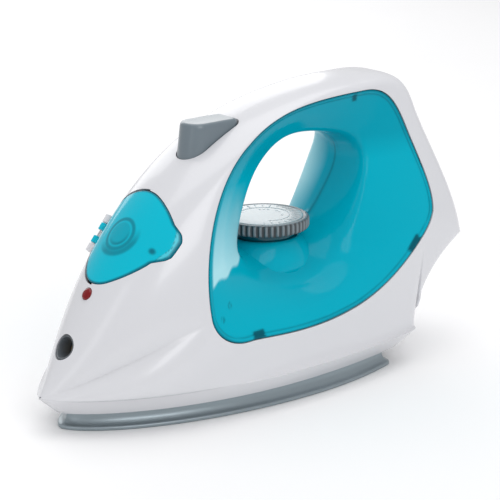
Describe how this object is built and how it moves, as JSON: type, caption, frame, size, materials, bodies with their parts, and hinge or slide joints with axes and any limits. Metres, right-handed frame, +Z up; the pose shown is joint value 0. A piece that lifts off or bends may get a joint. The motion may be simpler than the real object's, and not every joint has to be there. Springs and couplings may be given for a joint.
{
  "type": "steam iron",
  "caption": "Compact steam iron: white housing with clear turquoise side windows round the grip opening, knurled heat dial, spray button, hinged filler flap and flat soleplate.",
  "frame": {"origin": "on the ironing face and the middle plane, 2 mm towards the nose from the middle of the bounding box", "axes": "+X from the nose to the heel, +Z up from the ironing face, Y across the width"},
  "size_m": [0.246, 0.095, 0.145],
  "materials": {
    "soleplate": "satin non-stick coating",
    "heating_element": "satin",
    "steam_chamber_cover": "satin",
    "chamber_seal": "matte",
    "drip_valve": "matte",
    "thermostat_body": "matte",
    "thermostat_shaft": "satin",
    "dial_clip": "satin",
    "temperature_dial": "satin, lighter printed top",
    "dial_base": "gloss",
    "chassis": "matte heat-resistant",
    "chassis_screws": "zinc plated",
    "water_tank": "clear gloss",
    "filler_tray": "gloss",
    "filler_seal": "matte silicone",
    "filler_cover": "translucent gloss",
    "filler_hinge_pin": "satin",
    "housing_left": "gloss",
    "housing_right": "gloss",
    "side_window_left": "translucent gloss",
    "side_window_right": "translucent gloss",
    "nozzle_body": "satin",
    "nozzle_tip": "satin",
    "indicator_lens": "clear red lens",
    "neon_lamp": "clear",
    "steam_button": "satin",
    "pump_piston": "matte",
    "pump_body": "matte",
    "button_spring": "bright wire",
    "spray_tube": "translucent silicone",
    "suction_tube": "translucent silicone",
    "window_clips": "matte",
    "rear_cover": "gloss",
    "rear_cover_screw": "zinc plated",
    "cord_inlet": "matte",
    "terminal_block": "matte",
    "thermal_fuse": "satin",
    "supply_wires": "silicone sheath"
  },
  "bodies": {
    "iron_body": {"soleplate": "soleplate", "heating_element": "heating_element", "steam_chamber_cover": "steam_chamber_cover", "chamber_seal": "chamber_seal", "drip_valve": "drip_valve", "thermostat_body": "thermostat_body", "dial_base": "dial_base", "chassis": "chassis", "chassis_screws": "chassis_screws", "water_tank": "water_tank", "filler_tray": "filler_tray", "filler_seal": "filler_seal", "filler_hinge_pin": "filler_hinge_pin", "housing_left": "housing_left", "housing_right": "housing_right", "side_window_left": "side_window_left", "side_window_right": "side_window_right", "nozzle_body": "nozzle_body", "nozzle_tip": "nozzle_tip", "indicator_lens": "indicator_lens", "neon_lamp": "neon_lamp", "pump_body": "pump_body", "button_spring": "button_spring", "spray_tube": "spray_tube", "suction_tube": "suction_tube", "window_clips": "window_clips", "rear_cover": "rear_cover", "rear_cover_screw": "rear_cover_screw", "cord_inlet": "cord_inlet", "terminal_block": "terminal_block", "thermal_fuse": "thermal_fuse", "supply_wires": "supply_wires"},
    "dial": {"temperature_dial": "temperature_dial", "thermostat_shaft": "thermostat_shaft", "dial_clip": "dial_clip"},
    "filler_flap": {"filler_cover": "filler_cover"},
    "spray_button": {"steam_button": "steam_button", "pump_piston": "pump_piston"}
  },
  "joints": [
    {"name": "dial_turn", "type": "hinge", "parent": "iron_body", "child": "dial", "pos_m": [0.0132, 0, 0.0775], "axis": [0, 0, 1], "range_deg": [0, 270]},
    {"name": "button_press", "type": "slide", "parent": "iron_body", "child": "spray_button", "axis": [0, 0, -1], "range_m": [0, 0.005], "stiffness_N_per_m": 500, "springref_m": -0.002, "deforming": ["button_spring"]},
    {"name": "flap_hinge", "type": "hinge", "parent": "iron_body", "child": "filler_flap", "pos_m": [-0.06401, 0.0252, 0.08316], "axis": [-0.6401, 0, -0.7683], "range_deg": [0, 100]}
  ]
}
